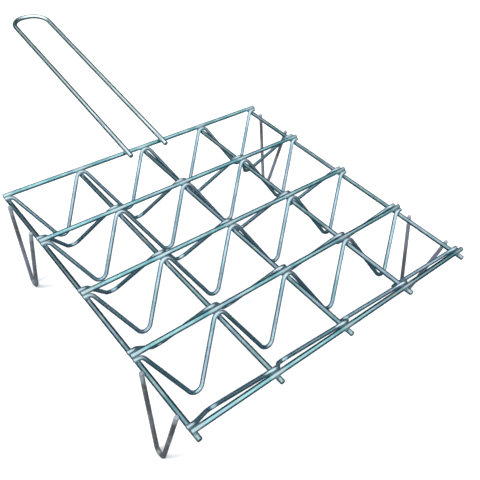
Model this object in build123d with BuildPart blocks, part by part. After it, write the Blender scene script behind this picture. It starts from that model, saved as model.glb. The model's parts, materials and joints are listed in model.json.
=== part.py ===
"""Wire grill basket: a square grid of pocket cells on four V legs, with a long loop handle.

Millimetres, Z up, feet on Z = 0. The handle runs towards +Y, the cross wires run along X.
The origin is the middle of the whole part's footprint, on the standing surface.
"""
import math
import os

from build123d import *

# ---- driving dimensions -------------------------------------------------------------
PITCH = 85.0             # centre to centre of the cells, both ways
CELLS = 4                # cells each way

GRID_D = 5.0             # round wire of the grid: cross wires, long wires, side rails
POCKET_D = 4.25          # round wire of the pocket wires
LEG_D = 4.25             # round wire of the legs
HANDLE_D = 6.0           # round wire of the handle

WELD_SINK = 0.25         # how far one wire is pressed into the other at a weld
END_ROUND = 1.0          # rounding of the cut wire ends

RAIL_Z = 95.0            # height of the side rails' centre line above the surface

CROSS_OVER_LEFT = 3.5    # cross wire past the centre of the left rail
CROSS_OVER_RIGHT = 6.5   # cross wire past the centre of the right rail
LONG_OVER_BACK = 3.0     # long wire past the back cross wire
LONG_OVER_FRONT = 7.5    # long wire past the front cross wire

POCKET_DEPTH = 60.0      # from the top of a pocket wire's wave to the bottom, in its own plane
POCKET_LEAN = 27.0       # degrees, each pocket wire leans in under its own row of cells
POCKET_PEAK_R = 7.5      # bend where it passes over a long wire
POCKET_FOOT_R = 8.0      # bend at the bottom of the V
POCKET_GAP = 0.3         # clear gap between a pocket wire and the cross wire beside it
POCKET_OVER = 4.0        # end of a pocket wire past the centre of the rail it lies on

LEG_SPREAD = 49.0        # between the two arms of a leg at the rail
LEG_FROM_EDGE = 42.5     # middle of a leg from the outermost cross wire
LEG_BEND_R = 6.0         # bend at the foot of a leg
LEG_ABOVE_RAIL = 3.5     # cut end of a leg arm above the rail's centre line

HANDLE_WIDTH = 48.5      # between the handle's two wires
HANDLE_REACH = 306.0     # from the back cross wire to the centre of the far end, level distance
HANDLE_RISE = 8.0        # degrees, the handle slopes up away from the grid
HANDLE_CORNER_R = 21.0   # bend at each far corner
HANDLE_INSIDE = 14.0     # wire ends reach this far inside the back cross wire

# ---- derived positions --------------------------------------------------------------
GRID_SIZE = PITCH * CELLS
HALF = GRID_SIZE / 2
CROSS_Z = RAIL_Z + GRID_D - WELD_SINK
POCKET_Z = RAIL_Z + (GRID_D + POCKET_D) / 2 - WELD_SINK
POCKET_SHIFT = (GRID_D + POCKET_D) / 2 + POCKET_GAP
FRONT_EXTENT = GRID_SIZE + LONG_OVER_FRONT
BACK_EXTENT = HANDLE_REACH + HANDLE_D / 2
Y_BACK = (FRONT_EXTENT - BACK_EXTENT) / 2

os.makedirs("parts", exist_ok=True)


def x_at(column):
    """X of a long wire: column 0 is the left rail, column CELLS the right rail."""
    return -HALF + column * PITCH


def y_at(row):
    """Y of a cross wire: row 0 is the back, on the handle's side."""
    return Y_BACK - row * PITCH


def write_wire(name, corners, radii, diameter):
    """One round wire along the corner points, bent to its own radius at each inner corner."""
    with BuildPart() as wire:
        with BuildLine():
            if radii:
                path = FilletPolyline(*corners, radius=radii)
            else:
                path = Line(*corners)
        with BuildSketch(Plane(origin=path @ 0, z_dir=path % 0)):
            Circle(diameter / 2)
        sweep(path=path)
        flat_faces = wire.faces().filter_by(GeomType.PLANE)
        first_end = flat_faces.sort_by_distance(path @ 0)[0]
        last_end = flat_faces.sort_by_distance(path @ 1)[0]
        fillet(first_end.edges() + last_end.edges(), END_ROUND)
    wire.part.label = name
    export_step(wire.part, f"parts/{name}.step")


# ---- cross wires, on top, numbered from the handle side -----------------------------
for row in range(CELLS + 1):
    left_end = (x_at(0) - CROSS_OVER_LEFT, y_at(row), CROSS_Z)
    right_end = (x_at(CELLS) + CROSS_OVER_RIGHT, y_at(row), CROSS_Z)
    write_wire(f"cross_wire_{row}", [left_end, right_end], [], GRID_D)


# ---- side rails and long wires, under the cross wires -------------------------------
def long_wire_name(column):
    """The outer two are the side rails."""
    if column == 0:
        return "side_rail_left"
    if column == CELLS:
        return "side_rail_right"
    return f"long_wire_{column}"


for column in range(CELLS + 1):
    back_end = (x_at(column), y_at(0) + LONG_OVER_BACK, RAIL_Z)
    front_end = (x_at(column), y_at(CELLS) - LONG_OVER_FRONT, RAIL_Z)
    write_wire(long_wire_name(column), [back_end, front_end], [], GRID_D)

# ---- pocket wires: a V wave in a leaning plane, two to each row of cells ------------
# An arm of the V is the inner tangent of a peak's bend circle and a foot's. The corner
# points lie where the arms' lines meet, past the bends.
bend_sum = POCKET_PEAK_R + POCKET_FOOT_R
centre_run = PITCH / 2
centre_drop = POCKET_DEPTH - bend_sum
arm_slope = math.atan2(centre_drop, centre_run) + math.asin(bend_sum / math.hypot(centre_drop, centre_run))
corner_over_bend = 1 / math.cos(arm_slope) - 1
peak_lift = POCKET_PEAK_R * corner_over_bend
foot_drop = POCKET_DEPTH + POCKET_FOOT_R * corner_over_bend
end_run = POCKET_PEAK_R * math.tan(arm_slope / 2)
lean = math.radians(POCKET_LEAN)


def pocket_point(x, down, y_top, side):
    """Point of the leaning wave plane: side is -1 for the back wire of a row, +1 for the front."""
    return (x, y_top + side * down * math.sin(lean), POCKET_Z - down * math.cos(lean))


def write_pocket_wire(name, y_top, side):
    """A flat end on each rail, a foot in every cell and a peak on every long wire between."""
    corners = [pocket_point(x_at(0) - POCKET_OVER, 0, y_top, side),
               pocket_point(x_at(0) + end_run, 0, y_top, side)]
    radii = [POCKET_PEAK_R]
    for column in range(CELLS):
        if column > 0:
            corners.append(pocket_point(x_at(column), -peak_lift, y_top, side))
            radii.append(POCKET_PEAK_R)
        corners.append(pocket_point(x_at(column) + PITCH / 2, foot_drop, y_top, side))
        radii.append(POCKET_FOOT_R)
    corners.append(pocket_point(x_at(CELLS) - end_run, 0, y_top, side))
    radii.append(POCKET_PEAK_R)
    corners.append(pocket_point(x_at(CELLS) + POCKET_OVER, 0, y_top, side))
    write_wire(name, corners, radii, POCKET_D)


for row in range(CELLS):
    write_pocket_wire(f"pocket_wire_{row}_back", y_at(row) - POCKET_SHIFT, -1)
    write_pocket_wire(f"pocket_wire_{row}_front", y_at(row + 1) + POCKET_SHIFT, 1)

# ---- legs: V of bent wire, welded to the outer side of the rails --------------------
leg_x = HALF + (GRID_D + LEG_D) / 2 - WELD_SINK
arm_top = RAIL_Z + LEG_ABOVE_RAIL
foot_centre_z = LEG_D / 2 + LEG_BEND_R
spread_run = LEG_SPREAD / 2
spread_rise = RAIL_Z - foot_centre_z
leg_slope = math.atan2(spread_rise, spread_run) + math.asin(LEG_BEND_R / math.hypot(spread_rise, spread_run))
foot_corner_z = foot_centre_z - LEG_BEND_R / math.cos(leg_slope)
arm_run = spread_run + LEG_ABOVE_RAIL / math.tan(leg_slope)


def write_leg(name, x, y):
    """One leg, its foot at y."""
    corners = [(x, y + arm_run, arm_top), (x, y, foot_corner_z), (x, y - arm_run, arm_top)]
    write_wire(name, corners, [LEG_BEND_R], LEG_D)


for place, leg_y in (("back", y_at(0) - LEG_FROM_EDGE), ("front", y_at(CELLS) + LEG_FROM_EDGE)):
    write_leg(f"leg_{place}_left", -leg_x, leg_y)
    write_leg(f"leg_{place}_right", leg_x, leg_y)

# ---- handle: one wire bent to a long loop, over the back cross wire -----------------
rise = math.radians(HANDLE_RISE)
over_cross = ((GRID_D + HANDLE_D) / 2 - WELD_SINK) / math.cos(rise)


def handle_point(x, out):
    """Point of the handle's sloping plane, out millimetres level distance past the back wire."""
    return (x, y_at(0) + out, CROSS_Z + over_cross + out * math.tan(rise))


handle_corners = [handle_point(-HANDLE_WIDTH / 2, -HANDLE_INSIDE),
                  handle_point(-HANDLE_WIDTH / 2, HANDLE_REACH),
                  handle_point(HANDLE_WIDTH / 2, HANDLE_REACH),
                  handle_point(HANDLE_WIDTH / 2, -HANDLE_INSIDE)]
write_wire("handle_loop", handle_corners, [HANDLE_CORNER_R, HANDLE_CORNER_R], HANDLE_D)
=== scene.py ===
"""Zinc-plated finishes, weld fillets, studio and camera for the wire grill basket.

Metres, in the CAD frame: +Z up, the handle towards +Y, the cross wires along X.
"""
import json
import math
import random

import bmesh
import bpy
from mathutils import Matrix, Vector
from mathutils.bvhtree import BVHTree

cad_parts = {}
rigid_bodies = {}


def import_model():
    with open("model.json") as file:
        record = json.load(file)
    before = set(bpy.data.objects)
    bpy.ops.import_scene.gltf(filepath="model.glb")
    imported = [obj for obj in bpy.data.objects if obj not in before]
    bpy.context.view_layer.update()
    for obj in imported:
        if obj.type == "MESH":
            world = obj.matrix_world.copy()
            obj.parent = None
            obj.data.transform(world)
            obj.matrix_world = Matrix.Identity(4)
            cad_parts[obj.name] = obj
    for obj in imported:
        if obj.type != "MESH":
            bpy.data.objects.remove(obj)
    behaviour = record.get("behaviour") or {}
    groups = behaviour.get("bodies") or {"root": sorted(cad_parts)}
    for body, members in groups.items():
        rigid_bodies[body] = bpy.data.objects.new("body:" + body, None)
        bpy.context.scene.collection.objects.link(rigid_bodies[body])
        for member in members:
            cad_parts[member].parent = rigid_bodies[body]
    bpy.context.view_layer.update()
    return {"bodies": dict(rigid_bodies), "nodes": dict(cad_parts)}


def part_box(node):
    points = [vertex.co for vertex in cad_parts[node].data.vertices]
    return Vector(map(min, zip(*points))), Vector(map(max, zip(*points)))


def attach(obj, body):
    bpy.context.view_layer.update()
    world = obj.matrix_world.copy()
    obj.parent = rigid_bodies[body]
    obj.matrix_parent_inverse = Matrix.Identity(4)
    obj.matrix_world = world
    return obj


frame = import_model()

BODY = next(iter(frame["bodies"]))
X_AXIS = Vector((1, 0, 0))
Y_AXIS = Vector((0, 1, 0))
Z_AXIS = Vector((0, 0, 1))

# ---- rays that find a bent wire's centre --------------------------------------------
PROBE_NUDGE = 0.00001     # a ray goes on this far past its first hit
PROBE_OUTSIDE = 0.01      # a ray starts this far outside a wire's box
PROBE_INSIDE = 0.002      # and comes down this far inside the box's side

# ---- weld fillets -------------------------------------------------------------------
WELD_STEPS = 22           # points round a fillet
WELD_RINGS = 4            # rings from the lower wire up to the upper one
WELD_OPEN = 0.00105       # gap between the two wires' surfaces where the fillet ends
WELD_LIMIT = 0.94         # its furthest reach, as a share of the thinner wire's radius
WELD_SIZES = (0.85, 1.15)   # range of that gap from one fillet to the next, as a share
WELD_STEP = 0.00002       # how finely the reach is searched for
WELD_UNEVEN = 0.35        # share by which the gap changes round a fillet
WELD_HOLLOW = 0.34        # how deep the fillet's face is, as a share of its reach
WELD_TUCK = 0.00006       # the fillet's rims lie this far inside the wires
WELD_CORE = 0.0006        # its end caps meet this far inside the wires
CROSS_SEED, POCKET_SEED, LEG_SEED, HANDLE_SEED = 100, 200, 300, 400

# ---- studio and camera --------------------------------------------------------------
CAMERA_AZIMUTH = -43.25   # degrees, 0 looks along +Y
CAMERA_ELEVATION = 42.54
CAMERA_ROLL = 5.86
CAMERA_DISTANCE = 0.604
CAMERA_LENS = 43.9        # millimetres, on a 36 mm wide sensor
CAMERA_AIM = Vector((-0.006, -0.024, -0.003))   # from the middle of the grid
SURROUND_FROM = Vector((-0.40, -0.41, 0.81))    # middle of the studio's bright side
SURROUND_EDGE = (0.20, 0.52)                    # cosines between which it fades in
SURROUND_BRIGHT = (1.20, 1.25, 1.28)
SURROUND_DARK = (0.010, 0.034, 0.044)
SURROUND_LOWER = (0.075, 0.11, 0.13)            # the studio below the horizon
HORIZON_EDGE = (-0.08, 0.22)                    # cosines with straight down where that fades in
KEY_FROM = Vector((-0.90, 0.19, 0.85))
KEY_SOFTNESS = 22.0       # degrees across
KEY_STRENGTH = 2.7


# ---- what the frame says ------------------------------------------------------------
def centre_of(name):
    """Middle of a CAD node's box."""
    low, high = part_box(name)
    return (low + high) / 2


def nodes_named(*starts):
    """CAD nodes whose names begin so, in the order of their names."""
    return [name for name in sorted(frame["nodes"]) if name.startswith(starts)]


def probe(name, start, direction):
    """(middle, half the thickness) of the first wire of this node that the line passes."""
    tree = BVHTree.FromObject(frame["nodes"][name], bpy.context.evaluated_depsgraph_get())
    first = tree.ray_cast(start, direction)[0]
    second = tree.ray_cast(first + direction * PROBE_NUDGE, direction)[0]
    return (first + second) / 2, (second - first).length / 2


CROSS_WIRES = nodes_named("cross_wire_")
LONG_WIRES = sorted(nodes_named("side_rail_", "long_wire_"), key=lambda name: centre_of(name).x)
POCKET_WIRES = nodes_named("pocket_wire_")
LEGS = nodes_named("leg_")
HANDLE = "handle_loop"

BACK_WIRE = CROSS_WIRES[0]
GRID_RADIUS = (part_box(BACK_WIRE)[1].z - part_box(BACK_WIRE)[0].z) / 2
CROSS_Z = centre_of(BACK_WIRE).z
RAIL_Z = centre_of(LONG_WIRES[0]).z
BACK_Y = centre_of(BACK_WIRE).y
LEFT_X = centre_of(LONG_WIRES[0]).x
PITCH = centre_of(LONG_WIRES[1]).x - LEFT_X
GRID_MIDDLE = Vector((0, (BACK_Y + centre_of(CROSS_WIRES[-1]).y) / 2, CROSS_Z))


# ---- procedural finishes ------------------------------------------------------------
class Graph:
    """A small helper to build the nodes of a material or of the world."""

    def __init__(self, owner):
        owner.use_nodes = True
        self.tree = owner.node_tree

    def add(self, kind, inputs=None, **settings):
        """A node, its settings, and its inputs by name or number: a socket is linked, a value is set."""
        made = self.tree.nodes.new(kind)
        for key, value in settings.items():
            setattr(made, key, value)
        for key, value in (inputs or {}).items():
            self.put(made.inputs[key], value)
        return made

    def put(self, socket, value):
        if isinstance(value, bpy.types.NodeSocket):
            self.tree.links.new(value, socket)
        else:
            socket.default_value = value

    def math(self, operation, *values):
        return self.add("ShaderNodeMath", dict(enumerate(values)), operation=operation).outputs[0]

    def noise(self, where, scale, detail=3.0, roughness=0.55):
        inputs = {"Vector": where, "Scale": scale, "Detail": detail, "Roughness": roughness}
        return self.add("ShaderNodeTexNoise", inputs).outputs["Fac"]

    def stretch(self, where, scales):
        return self.add("ShaderNodeMapping", {"Vector": where, "Scale": scales}).outputs["Vector"]

    def remap(self, value, low, high, to_low=0.0, to_high=1.0):
        """A smooth step from to_low to to_high while the value goes from low to high."""
        inputs = {"Value": value, "From Min": low, "From Max": high, "To Min": to_low, "To Max": to_high}
        return self.add("ShaderNodeMapRange", inputs, interpolation_type="SMOOTHSTEP").outputs["Result"]

    def bump(self, strength, distance, height, over=None):
        inputs = {"Strength": strength, "Distance": distance, "Height": height}
        if over is not None:
            inputs["Normal"] = over
        return self.add("ShaderNodeBump", inputs).outputs[0]

    def mix(self, share, first, second):
        made = self.add("ShaderNodeMix", data_type="RGBA")
        self.put(made.inputs["Factor"], share)
        self.put(made.inputs[6], first)
        self.put(made.inputs[7], second)
        return made.outputs[2]


def rgb(red, green, blue):
    return (red, green, blue, 1.0)


def start_material(name):
    """(material, its nodes, its shader, the object's own coordinates)."""
    material = bpy.data.materials.new(name)
    g = Graph(material)
    where = g.add("ShaderNodeTexCoord").outputs["Object"]
    return material, g, g.tree.nodes["Principled BSDF"], where


# ---- the plating: scales of its noises, per metre, and its marks' colours
PATCH_SCALE = 46.0                    # between the two shades
CLOUD_SCALE = 17.0                    # of violet-blue tarnish
SHEEN_SCALE = 95.0                    # of the passivation's yellow-green sheen
SCUFF_SCALES = (260.0, 260.0, 420.0)
RAGGED_SCALE = 420.0                  # of the frosted spots' edges
PIT_SCALE = 1100.0                    # of the pits in those spots
GRAIN_SCALE = 2400.0
CLOUD_COLOUR = (0.44, 0.50, 0.66)
SHEEN_COLOUR = (0.66, 0.72, 0.60)
SCUFF_COLOUR = (0.80, 0.86, 0.88)
FROST_COLOUR = (0.72, 0.84, 0.88)
FROST_FULL, FROST_END = 0.006, 0.0135  # distances from a weld
FROST_RAGGED = 0.006                   # how far the noise moves them
DRAWN_DEPTH = 0.00006                  # of the drawing lines
PITTED_DEPTH = 0.00009                 # of the grain and the pits


def weld_frost(g, where, weld_spots):
    """1 near the welds, where the plating is frosted, and 0 away from them."""
    axis, place, pitch = weld_spots
    offset = g.math("SUBTRACT", g.add("ShaderNodeSeparateXYZ", {0: where}).outputs[axis], place)
    offset = g.math("PINGPONG", offset, pitch / 2) if pitch else g.math("ABSOLUTE", offset)
    ragged = g.math("MULTIPLY_ADD", g.noise(where, RAGGED_SCALE), FROST_RAGGED, offset)
    return g.remap(ragged, FROST_FULL, FROST_END, 1.0, 0.0)


def zinc(name, pale, deep, streaks, weld_spots, rough=0.20, bloom=0.62, metal=1.0, clouds=0.42):
    """Bright zinc plate on drawn wire.

    pale and deep are its two shades, and streaks the scales of the drawing lines along each axis.
    weld_spots is (axis, place, pitch) of the welds, with pitch None for one place only, and bloom
    how pale the plating is there. A metal share under 1 is plating gone dull, and clouds is the
    share of tarnish.
    """
    material, g, shader, where = start_material(name)
    patches = g.remap(g.noise(where, PATCH_SCALE, 4.0), 0.36, 0.64)
    cloud = g.remap(g.noise(where, CLOUD_SCALE, 2.0), 0.40, 0.66)
    sheen = g.remap(g.noise(where, SHEEN_SCALE, 2.0), 0.52, 0.72)
    scuffs = g.remap(g.noise(g.stretch(where, SCUFF_SCALES), 1.0, 6.0, 0.7), 0.60, 0.70)
    lines = g.noise(g.stretch(where, streaks), 1.0, 5.0, 0.65)
    grain = g.noise(where, GRAIN_SCALE, 2.0)
    frost = weld_frost(g, where, weld_spots)

    colour = g.mix(patches, rgb(*pale), rgb(*deep))
    for mark, share, shade in ((cloud, clouds, CLOUD_COLOUR), (sheen, 0.30, SHEEN_COLOUR),
                               (scuffs, 0.45, SCUFF_COLOUR), (frost, bloom, FROST_COLOUR)):
        colour = g.mix(g.math("MULTIPLY", mark, share), colour, rgb(*shade))

    roughness = rough - 0.07
    for mark, share in ((lines, 0.14), (patches, 0.07), (frost, 0.16), (grain, 0.05)):
        roughness = g.math("MULTIPLY_ADD", mark, share, roughness)

    pits = g.math("MULTIPLY", frost, g.noise(where, PIT_SCALE))
    drawn = g.bump(0.55, DRAWN_DEPTH, lines)
    pitted = g.bump(0.35, PITTED_DEPTH, g.math("ADD", grain, pits), drawn)

    g.put(shader.inputs["Base Color"], colour)
    g.put(shader.inputs["Roughness"], roughness)
    g.put(shader.inputs["Normal"], pitted)
    shader.inputs["Metallic"].default_value = metal
    shader.inputs["Coat Weight"].default_value = 0.12
    shader.inputs["Coat Roughness"].default_value = 0.3
    return material


ALONG, ACROSS = 14.0, 1900.0       # scales of the drawing lines, along and across a wire
STREAKS_X = (ALONG, ACROSS, ACROSS)
STREAKS_Y = (ACROSS, ALONG, ACROSS)
EVERY_WAY = (700.0, 700.0, 700.0)  # on bent wire they are short and run every way

finishes = {
    "cross": zinc("zinc_cross_wires", (0.37, 0.67, 0.69), (0.18, 0.46, 0.51), STREAKS_X,
                  ("X", LEFT_X, PITCH)),
    # the long wires get darker shades than the same zinc on the cross wires: painted shade
    "long": zinc("zinc_long_wires_painted_shade", (0.29, 0.44, 0.46), (0.15, 0.30, 0.33), STREAKS_Y,
                 ("Y", BACK_Y, PITCH)),
    "pocket": zinc("zinc_pocket_wires", (0.50, 0.70, 0.78), (0.27, 0.48, 0.57), EVERY_WAY,
                   ("X", LEFT_X, PITCH)),
    "leg": zinc("zinc_legs", (0.185, 0.18, 0.20), (0.13, 0.135, 0.155), EVERY_WAY,
                ("Z", RAIL_Z, None), rough=0.40, bloom=0.4, metal=0.55),
    # the handle gets much paler shades and less tarnish than the same zinc elsewhere: a painted highlight
    "handle": zinc("zinc_handle_painted_highlight", (0.86, 0.97, 0.97), (0.64, 0.80, 0.82), STREAKS_Y,
                   ("Y", BACK_Y, None), rough=0.18, clouds=0.18),
}


LUMP_SCALE, LUMP_DEPTH = 900.0, 0.0003         # of the zinc over a weld
CRYSTAL_SCALE, CRYSTAL_DEPTH = 3200.0, 0.00008
STAIN_SCALE = 260.0


def weld_finish():
    """Frosted zinc over a weld: matt, pale and lumpy, with darker stains."""
    material, g, shader, where = start_material("zinc_over_weld")
    lumps = g.noise(where, LUMP_SCALE, 4.0, 0.6)
    crystals = g.noise(where, CRYSTAL_SCALE, 2.0)
    stain = g.remap(g.noise(where, STAIN_SCALE), 0.42, 0.66)
    colour = g.mix(stain, rgb(0.66, 0.80, 0.85), rgb(0.36, 0.48, 0.54))
    colour = g.mix(g.remap(lumps, 0.35, 0.65, 0.0, 0.5), colour, rgb(0.78, 0.88, 0.90))
    g.put(shader.inputs["Base Color"], colour)
    g.put(shader.inputs["Roughness"], g.remap(crystals, 0.3, 0.7, 0.38, 0.58))
    lumpy = g.bump(0.7, LUMP_DEPTH, lumps)
    g.put(shader.inputs["Normal"], g.bump(0.4, CRYSTAL_DEPTH, crystals, lumpy))
    shader.inputs["Metallic"].default_value = 1.0
    return material


finishes["weld"] = weld_finish()


def dress(names, finish):
    """Gives these CAD nodes a finish."""
    for name in names:
        for slot in frame["nodes"][name].material_slots:
            slot.material = finishes[finish]


dress(CROSS_WIRES, "cross")
dress(LONG_WIRES, "long")
dress(POCKET_WIRES, "pocket")
dress(LEGS, "leg")
dress([HANDLE], "handle")


# ---- weld fillets between crossing wires --------------------------------------------
def drop(radius, across):
    """How far a round wire's surface has fallen away, this far from its crown."""
    return radius - math.sqrt(max(radius * radius - across * across, 0.0))


def add_fillet(bm, low_centre, low_axis, low_radius, high_centre, high_axis, high_radius, rng):
    """One closed, hollow-faced fillet round the contact of two crossing wires.

    Each point reaches outwards until the gap between the wires is as wide as wanted there.
    """
    normal = (high_centre - low_centre).normalized()
    sunk = low_radius + high_radius - (high_centre - low_centre).length
    contact = low_centre + normal * (low_radius - sunk / 2)
    first = low_axis.normalized()
    second = normal.cross(first)
    phase = rng.uniform(0, math.tau)
    size = rng.uniform(*WELD_SIZES)
    furthest = WELD_LIMIT * min(low_radius, high_radius)
    rings = [[] for _ in range(WELD_RINGS + 1)]
    for step in range(WELD_STEPS):
        turn = math.tau * step / WELD_STEPS
        outward = first * math.cos(turn) + second * math.sin(turn)
        low_share = outward.cross(low_axis).length
        high_share = outward.cross(high_axis).length
        ripple = math.sin(2 * turn + phase) * 0.6 + math.sin(5 * turn - phase) * 0.4
        wanted = WELD_OPEN * size * (1 + WELD_UNEVEN * ripple)
        reach = 0.0
        gap = -sunk
        while gap < wanted and reach < furthest:
            reach += WELD_STEP
            gap = drop(low_radius, reach * low_share) + drop(high_radius, reach * high_share) - sunk
        floor = sunk / 2 - drop(low_radius, reach * low_share) - WELD_TUCK
        roof = drop(high_radius, reach * high_share) - sunk / 2 + WELD_TUCK
        for ring, points in enumerate(rings):
            share = ring / WELD_RINGS
            distance = reach * (1 - WELD_HOLLOW * math.sin(math.pi * share))
            height = floor + (roof - floor) * share
            points.append(bm.verts.new(contact + outward * distance + normal * height))
    for lower, upper in zip(rings, rings[1:]):
        for step in range(WELD_STEPS):
            after = (step + 1) % WELD_STEPS
            bm.faces.new((lower[step], lower[after], upper[after], upper[step]))
    bottom = bm.verts.new(contact - normal * WELD_CORE)
    top = bm.verts.new(contact + normal * WELD_CORE)
    for step in range(WELD_STEPS):
        after = (step + 1) % WELD_STEPS
        bm.faces.new((bottom, rings[0][after], rings[0][step]))
        bm.faces.new((top, rings[-1][step], rings[-1][after]))


def weld_piece(name, joins, seed):
    """One piece with a fillet for each join: (lower centre, axis, radius, upper centre, axis, radius)."""
    rng = random.Random(seed)
    bm = bmesh.new()
    for join in joins:
        add_fillet(bm, *join, rng)
    bmesh.ops.recalc_face_normals(bm, faces=bm.faces[:])
    mesh = bpy.data.meshes.new(name)
    bm.to_mesh(mesh)
    bm.free()
    mesh.shade_smooth()
    mesh.materials.append(finishes["weld"])
    piece = bpy.data.objects.new(name, mesh)
    bpy.context.scene.collection.objects.link(piece)
    smooth = piece.modifiers.new("smooth", "SUBSURF")
    smooth.levels = smooth.render_levels = 1
    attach(piece, BODY)


def joins_on_long_wires(y, z, radius):
    """A wire along X at this y and height, where it lies on every long wire."""
    for name in LONG_WIRES:
        x = centre_of(name).x
        yield Vector((x, y, RAIL_Z)), Y_AXIS, GRID_RADIUS, Vector((x, y, z)), X_AXIS, radius


for number, name in enumerate(CROSS_WIRES):
    joins = joins_on_long_wires(centre_of(name).y, CROSS_Z, GRID_RADIUS)
    weld_piece(f"welds_{name}", joins, CROSS_SEED + number)

for number, name in enumerate(POCKET_WIRES):
    low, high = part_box(name)
    radius = (high.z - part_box(BACK_WIRE)[0].z) / 2     # its peaks rest as low as the cross wires
    peak_y = low.y + radius if name.endswith("front") else high.y - radius
    joins = joins_on_long_wires(peak_y, high.z - radius, radius)
    weld_piece(f"welds_{name}", joins, POCKET_SEED + number)

for number, name in enumerate(LEGS):
    low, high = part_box(name)
    joins = []
    for start_y, inward in ((low.y - PROBE_OUTSIDE, Y_AXIS), (high.y + PROBE_OUTSIDE, -Y_AXIS)):
        at_rail, _ = probe(name, Vector((centre_of(name).x, start_y, RAIL_Z)), inward)
        lower_down, _ = probe(name, Vector((centre_of(name).x, start_y, RAIL_Z / 2)), inward)
        arm = (at_rail - lower_down).normalized()
        rail_x = math.copysign(LEFT_X, centre_of(name).x)
        on_rail = Vector((rail_x, at_rail.y, RAIL_Z))
        joins.append((on_rail, Y_AXIS, GRID_RADIUS, at_rail, arm, (high.x - low.x) / 2))
    weld_piece(f"welds_{name}", joins, LEG_SEED + number)


def handle_wire(side, y):
    """(centre, radius) of one of the handle's two wires at this y; side is -1 or +1."""
    low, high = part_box(HANDLE)
    edge = low.x if side < 0 else high.x
    above = Vector((edge - side * PROBE_INSIDE, y, high.z + PROBE_OUTSIDE))
    level, _ = probe(HANDLE, above, -Z_AXIS)
    return probe(HANDLE, Vector((edge + side * PROBE_OUTSIDE, y, level.z)), X_AXIS * -side)


joins = []
for side in (-1, 1):
    over, radius = handle_wire(side, BACK_Y)
    further, _ = handle_wire(side, BACK_Y + PITCH)
    axis = (further - over).normalized()
    normal = X_AXIS.cross(axis).normalized()
    on_wire = Vector((over.x, BACK_Y, CROSS_Z))
    height = (over - on_wire).dot(normal)
    joins.append((on_wire, X_AXIS, GRID_RADIUS, on_wire + normal * height, axis, radius))
weld_piece("welds_handle_loop", joins, HANDLE_SEED)


# ---- studio -------------------------------------------------------------------------
def cove(radius=2.4, bend=1.0, wall=1.6, steps=96, bend_steps=14):
    """Round floor that turns up into a wall, a lathed profile."""
    profile = [(0.0, 0.0), (radius * 0.5, 0.0), (radius, 0.0)]
    for step in range(1, bend_steps + 1):
        turn = math.pi / 2 * step / bend_steps
        profile.append((radius + bend * math.sin(turn), bend * (1 - math.cos(turn))))
    profile.append((radius + bend, bend + wall))
    bm = bmesh.new()
    middle = bm.verts.new((0, 0, 0))
    rings = []
    for distance, height in profile[1:]:
        angles = [math.tau * step / steps for step in range(steps)]
        rings.append([bm.verts.new((distance * math.cos(a), distance * math.sin(a), height)) for a in angles])
    for step in range(steps):
        after = (step + 1) % steps
        bm.faces.new((middle, rings[0][step], rings[0][after]))
        for inner, outer in zip(rings, rings[1:]):
            bm.faces.new((inner[step], outer[step], outer[after], inner[after]))
    mesh = bpy.data.meshes.new("studio_floor")
    bm.to_mesh(mesh)
    bm.free()
    mesh.shade_smooth()
    floor = bpy.data.objects.new("studio_floor", mesh)
    bpy.context.scene.collection.objects.link(floor)
    return floor


def floor_finish():
    """Matt and nearly white, with a faint mottle."""
    material, g, shader, where = start_material("pale_floor")
    mottle = g.remap(g.noise(where, 6.0), 0.3, 0.7)
    g.put(shader.inputs["Base Color"], g.mix(mottle, rgb(0.94, 0.93, 0.92), rgb(0.96, 0.95, 0.94)))
    shader.inputs["Roughness"].default_value = 0.9
    shader.inputs["Specular IOR Level"].default_value = 0.1
    return material


floor = cove()
floor.data.materials.append(floor_finish())
floor.visible_glossy = False


def soft_key():
    """Broad soft light from the left, for the floor and the feet's shadows. No wire reflects it."""
    data = bpy.data.lights.new("key", "SUN")
    data.energy = KEY_STRENGTH
    data.angle = math.radians(KEY_SOFTNESS)
    light = bpy.data.objects.new("key", data)
    light.rotation_euler = KEY_FROM.to_track_quat("Z", "Y").to_euler()
    light.visible_glossy = False
    bpy.context.scene.collection.objects.link(light)


def studio_surround():
    """What the wires reflect: a bright side, a dark one, and a grey studio below the horizon."""
    world = bpy.data.worlds.new("studio_surround")
    g = Graph(world)
    direction = g.add("ShaderNodeTexCoord").outputs["Generated"]

    def facing(towards, edge):
        """0 to 1 as the direction turns towards this one."""
        inputs = {0: direction, 1: towards}
        return g.remap(g.add("ShaderNodeVectorMath", inputs, operation="DOT_PRODUCT").outputs["Value"], *edge)

    colour = g.mix(facing(SURROUND_FROM, SURROUND_EDGE), rgb(*SURROUND_DARK), rgb(*SURROUND_BRIGHT))
    colour = g.mix(facing(-Z_AXIS, HORIZON_EDGE), colour, rgb(*SURROUND_LOWER))
    g.put(g.tree.nodes["Background"].inputs["Color"], colour)
    bpy.context.scene.world = world


soft_key()
studio_surround()
bpy.context.scene.view_settings.view_transform = "Standard"


# ---- camera -------------------------------------------------------------------------
def aim_camera():
    """Looks down at the grid from in front of it and to the left."""
    azimuth = math.radians(CAMERA_AZIMUTH)
    elevation = math.radians(CAMERA_ELEVATION)
    roll = math.radians(CAMERA_ROLL)
    flat = math.cos(elevation)
    back = Vector((math.sin(azimuth) * flat, -math.cos(azimuth) * flat, math.sin(elevation)))
    level_right = Z_AXIS.cross(back).normalized()
    level_up = back.cross(level_right)
    right = level_right * math.cos(roll) + level_up * math.sin(roll)
    up = level_up * math.cos(roll) - level_right * math.sin(roll)
    data = bpy.data.cameras.new("camera")
    data.lens = CAMERA_LENS
    data.clip_start, data.clip_end = 0.01, 50.0
    camera = bpy.data.objects.new("camera", data)
    turn = Matrix((right, up, back)).transposed().to_4x4()
    camera.matrix_world = Matrix.Translation(GRID_MIDDLE + CAMERA_AIM + back * CAMERA_DISTANCE) @ turn
    bpy.context.scene.collection.objects.link(camera)
    bpy.context.scene.camera = camera


aim_camera()
